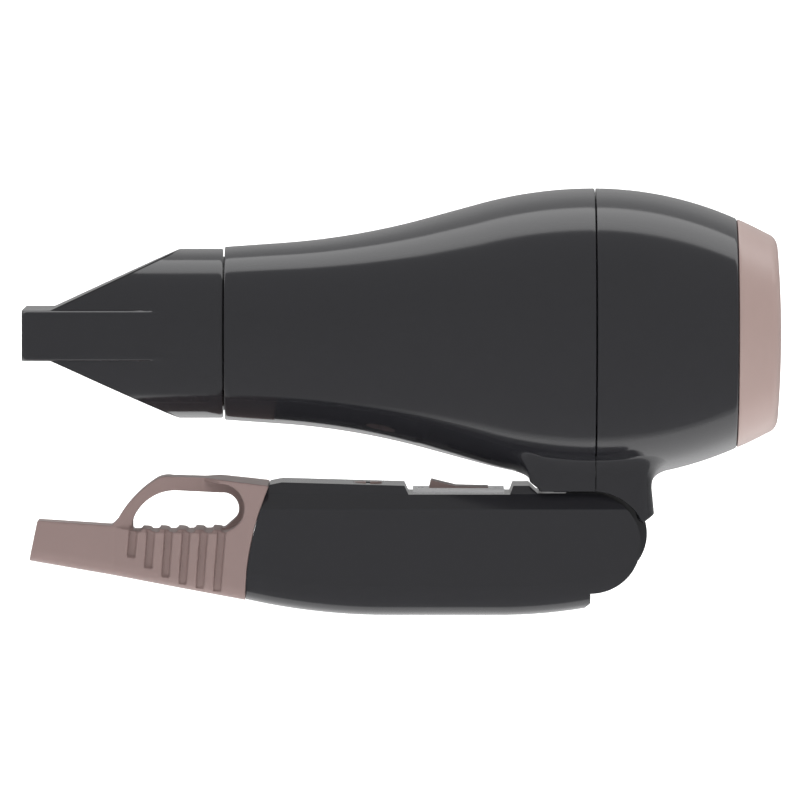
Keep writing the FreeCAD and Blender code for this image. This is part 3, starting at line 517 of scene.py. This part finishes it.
def nozzle_section(x):
    """A closed section of the nozzle: bar side, rounded edge, round flank, rim, raised panel."""
    wide, high, round_part = nozzle_width(x), nozzle_height(x), x >= WEDGE_FRONT
    fade = min(max((x - WEDGE_FRONT) / 4, 0), 1) * min(max((WEDGE_BACK - x) / 1.5, 0), 1)
    step, edge = PANEL_STEP * fade, TIP_EDGE
    quarter = [(wide, (TIP_HALF - edge) * k / 3) for k in range(3)]
    quarter += [(wide - edge + edge * math.cos(a), TIP_HALF - edge + edge * math.sin(a)) for a in
                (math.pi / 2 * k / 8 for k in range(9))]
    if round_part:
        pushed = []
        for y, z in quarter:
            grow = max(NOZZLE_R / math.hypot(y, z), 1)
            pushed.append((y * grow, min(z * grow, high)))
        quarter = pushed
    y, z = quarter[-1]
    low = math.atan2(z, y)
    top = high - step
    high_angle = max(math.asin(min(top / NOZZLE_R, 0.9999)), low) if round_part else low
    for k in range(1, 19):
        turn = low + (high_angle - low) * k / 18
        quarter.append((NOZZLE_R * math.cos(turn), NOZZLE_R * math.sin(turn)) if round_part else (y, z))
    y = quarter[-1][0]
    inset = min(PANEL_INSET * fade, y * 0.45)
    quarter += [(y - inset * 0.3, top), (y - inset, top), (y - inset * 1.08, high)]
    y = quarter[-1][0]
    quarter += [(y * (1 - k / 5), high) for k in range(1, 6)]
    half = quarter + [(-y, z) for y, z in reversed(quarter[:-1])]
    return half + [(y, -z) for y, z in reversed(half[1:-1])]


def nozzle():
    """One skin from the socket's bore round the tip and back along the outside."""
    work = bmesh.new()
    places = [TIP_X + TIP_CORNER * (1 - math.cos(math.pi / 2 * k / 6)) for k in range(7)]
    places += [TIP_X + TIP_CORNER + (WEDGE_FRONT - TIP_X - TIP_CORNER) * k / 5 for k in range(1, 6)]
    places += [WEDGE_FRONT + 0.01 + (WEDGE_BACK - WEDGE_FRONT) * k / 64 for k in range(65)]
    places += [WEDGE_BACK + 0.4 + (NOZZLE_BACK - WEDGE_BACK - 0.8) * k / 12 for k in range(13)]
    places.append(NOZZLE_BACK)

    def ring(x, across=1.0, up=1.0):
        shrink = 0.992 if x == NOZZLE_BACK else 1.0
        made = [metres(x, y * across * shrink, BARREL_Z + z * up * shrink) for y, z in nozzle_section(x)]
        return made + made[:1]
    rows = [ring(x) for x in places]
    across = NOZZLE_BORE / TIP_WIDE
    inner = [ring(x, across * 0.985, (nozzle_height(x) - NOZZLE_WALL) / nozzle_height(x))
             for x in places[::4] if x < THROAT_X]
    inner.append(ring(SOCKET_X, NOZZLE_BORE / NOZZLE_R, NOZZLE_BORE / NOZZLE_R))
    inner.append(ring(NOZZLE_BACK, NOZZLE_BORE / NOZZLE_R, NOZZLE_BORE / NOZZLE_R))
    grid(work, list(reversed(inner)) + rows)
    grid(work, [rows[-1], inner[-1]])
    mesh = to_mesh(work, "nozzle_skin")
    made = finish_mesh("nozzle_skin", mesh, "nozzle", "nozzle", 28)
    paint(made, CHARCOAL)
    soften(made, 0.28, 3, 30)


# ---- end piece ----

GROOVE_LOWS = (14.2, 11.6, 9.4, 7.7, 6.7, 6.0)
GROOVE_HIGH, GROOVE_DEPTH, TOP_X, TOP_PITCH, LOW_X, LOW_PITCH = 22.0, 0.75, -66.9, 4.42, -67.7, 4.3
RIBS, RIB_X, RIB_TILT, RIB_Z, RIB_LENGTH, RIB_HEIGHT = 5, -64.05, math.radians(4), 18.65, 2.2, 6.4
STEM_X, STEM_HALF, FLARE, FLARE_LENGTH, FLARE_POWER = -72, 6.6, 10.4, 34, 0.93
LIP_START, LIP_END, LIP_LOW, LOOP_HALF, LIP_REACH = -50, -44.6, 31, 6.45, 9.5


def smooth(value, low, high):
    """0 below low, 1 above high and an even S between them."""
    t = min(max((value - low) / (high - low), 0), 1)
    return t * t * (3 - 2 * t)


def groove_mask(x, z):
    """1 inside one of the slanted grooves below the window, 0 outside."""
    best = 0
    for number, low_z in enumerate(GROOVE_LOWS):
        top_x, low_x = TOP_X + TOP_PITCH * number, LOW_X + LOW_PITCH * number
        t = (z - low_z) / (24 - low_z)
        centre = low_x + (top_x - low_x) * t
        across = 1 - smooth(abs(x - centre), 0.8, 1.05)
        upward = smooth(z, low_z + 0.1, low_z + 0.4) * (1 - smooth(z, GROOVE_HIGH, GROOVE_HIGH + 0.4))
        best = max(best, across * upward)
    return best


def end_width(x):
    """Half width of the end piece in plan, between its stem and the handle."""
    return STEM_HALF + FLARE * ((x - STEM_X) / FLARE_LENGTH) ** FLARE_POWER


def end_piece():
    """The CAD end piece with its ribs added, its edges relaxed and its grooves pressed in."""
    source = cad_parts["end_piece"]
    work = bmesh.new()
    work.from_mesh(source.data)
    work.transform(source.matrix_world)
    for number in range(RIBS):
        x = RIB_X + TOP_PITCH * number
        rib = bmesh.ops.create_cube(work, size=1)
        place = Matrix.Translation(metres(x, 0, RIB_Z)) @ Matrix.Rotation(RIB_TILT, 4, "Y")
        grow = Matrix.Diagonal((RIB_LENGTH * MM, 2 * (end_width(x) - 0.35) * MM, RIB_HEIGHT * MM, 1))
        bmesh.ops.transform(work, verts=rib["verts"], matrix=place @ grow)
    mesh = bpy.data.meshes.new("end_piece_skin")
    work.to_mesh(mesh)
    work.free()
    made = bpy.data.objects.new("end_piece_blank", mesh)
    bpy.context.scene.collection.objects.link(made)
    voxels = made.modifiers.new("voxels", "REMESH")
    voxels.mode, voxels.voxel_size = "VOXEL", 0.27 * MM
    relax = made.modifiers.new("relax", "SMOOTH")
    relax.factor, relax.iterations = 0.5, 5
    shaped = bpy.data.meshes.new_from_object(made.evaluated_get(bpy.context.evaluated_depsgraph_get()))
    bpy.data.objects.remove(made)
    for vertex in shaped.vertices:
        x, y, z = vertex.co / MM
        if x < LIP_END and z > LIP_LOW:
            reach = LOOP_HALF + LIP_REACH * smooth(x, LIP_START, LIP_END)
            vertex.co.y = math.copysign(min(abs(y), reach), y) * MM
        if -70 < x < -41 and z < 22.4:
            depth = GROOVE_DEPTH * groove_mask(x, z) * smooth(abs(y), 3.4, 6.2)
            vertex.co.y -= math.copysign(depth, y) * MM
            crown = smooth(x, -68.6, -66.6) * (1 - smooth(x, -45.5, -42.0)) * smooth(z, 13, 21)
            vertex.co.z -= 0.45 * crown * min(abs(y) / end_width(x), 1) ** 2 * MM
    skin = finish_mesh("end_piece_skin", shaped, "handle", "end_piece", 60)
    paint(skin, TAUPE)


# ---- camera, light and floor, in metres ----

def aim(thing, target):
    thing.rotation_mode = "QUATERNION"
    thing.rotation_quaternion = (Vector(target) - thing.location).to_track_quat("-Z", "Y")


def camera():
    data = bpy.data.cameras.new("camera")
    made = bpy.data.objects.new("camera", data)
    bpy.context.scene.collection.objects.link(made)
    distance, lift, sensor, view_width = 3.0, math.radians(2.2), 36, 0.2
    target = Vector((-0.0006, 0, 0.0533))
    made.location = target + Vector((0, -math.cos(lift), math.sin(lift))) * distance
    aim(made, target)
    data.sensor_width = sensor
    data.lens = sensor * distance / view_width
    data.clip_start, data.clip_end = 0.01, 100
    bpy.context.scene.camera = made


def lamp(name, place, target, width, depth, power):
    data = bpy.data.lights.new(name, "AREA")
    data.shape = "RECTANGLE"
    data.size, data.size_y = width, depth
    data.energy = power
    made = bpy.data.objects.new(name, data)
    made.location = place
    made.visible_camera = False
    bpy.context.scene.collection.objects.link(made)
    aim(made, target)
    return made


def surround():
    """A room that is even in front; behind the object it is dim at the horizon, bright above and below."""
    world = bpy.data.worlds.new("studio")
    world.use_nodes = True
    nodes, links = world.node_tree.nodes, world.node_tree.links
    place, parts = nodes.new("ShaderNodeTexCoord"), nodes.new("ShaderNodeSeparateXYZ")
    links.new(place.outputs["Generated"], parts.inputs["Vector"])
    behind = ranged(nodes, links, parts.outputs["Y"], 0, 1, -0.02, 0.12)
    above = ranged(nodes, links, parts.outputs["Z"], 0.35, 0.88, 0.1, 0.6)
    below = ranged(nodes, links, parts.outputs["Z"], 1.3, 0, -0.65, -0.1)

    def joined(operation, *values):
        made = nodes.new("ShaderNodeMath")
        made.operation = operation
        for value, socket in zip(values, made.inputs):
            if isinstance(value, float):
                socket.default_value = value
            else:
                links.new(value, socket)
        return made.outputs["Value"]
    back = joined("ADD", joined("ADD", above, below), -0.5)
    light = joined("MULTIPLY_ADD", behind, back, 0.5)
    links.new(light, nodes["Background"].inputs["Strength"])
    nodes["Background"].inputs["Color"].default_value = (1, 1, 1, 1)
    bpy.context.scene.world = world


# The floor lies below the swing of the opened handle.
FLOOR_DROP = 0.16


def studio():
    work = bmesh.new()
    rows = []
    half, near, bend_start, bend, top = 9.0, -6.0, 4.2, 2.0, 8.0
    for k in range(25):
        angle = math.radians(90 * k / 24)
        y, z = bend_start + bend * math.sin(angle), bend - bend * math.cos(angle)
        rows.append([Vector((-half, y, z)), Vector((half, y, z))])
    far = bend_start + bend
    rows = [[Vector((-half, near, 0)), Vector((half, near, 0))]] + rows + \
        [[Vector((-half, far, top)), Vector((half, far, top))]]
    grid(work, [[p - Vector((0, 0, FLOOR_DROP)) for p in row] for row in rows])
    floor = finish_floor(work)
    material, nodes, links, bsdf = shader("floor_paper")
    grain = noise(nodes, links, 30, 4)
    links.new(mixed(nodes, links, grain, (0.88, 0.88, 0.88), (0.9, 0.9, 0.9)), bsdf.inputs["Base Color"])
    bsdf.inputs["Roughness"].default_value = 0.85
    bsdf.inputs["Specular IOR Level"].default_value = 0.2
    bsdf.inputs["Emission Color"].default_value = (1, 1, 1, 1)
    bsdf.inputs["Emission Strength"].default_value = 0.36
    floor.data.materials.append(material)
    floor.visible_glossy = False
    surround()
    lamp("softbox_over", (0, 0.30, 1.1), (0, 0.30, 0), 3.0, 0.58, 9.8)
    fill = lamp("fill_front", (0.2, -1.6, 1.5), (0, 0, 0.05), 1.6, 1.0, 12)
    fill.visible_glossy = False
    back = lamp("backdrop_wash", (0, 3.4, 3.6), (0, 6.0, 1.0), 5.0, 1.0, 160)
    back.visible_glossy = False
    bpy.context.scene.view_settings.view_transform = "Standard"


def finish_floor(work):
    """The floor's object: smooth, and outside the pieces that ride on bodies."""
    bmesh.ops.recalc_face_normals(work, faces=work.faces)
    mesh = bpy.data.meshes.new("floor")
    work.to_mesh(mesh)
    work.free()
    for polygon in mesh.polygons:
        polygon.use_smooth = True
    floor = bpy.data.objects.new("floor", mesh)
    bpy.context.scene.collection.objects.link(floor)
    return floor


camera()
dress_cad()
barrel_shells()
rear_grille()
nozzle()
end_piece()
studio()
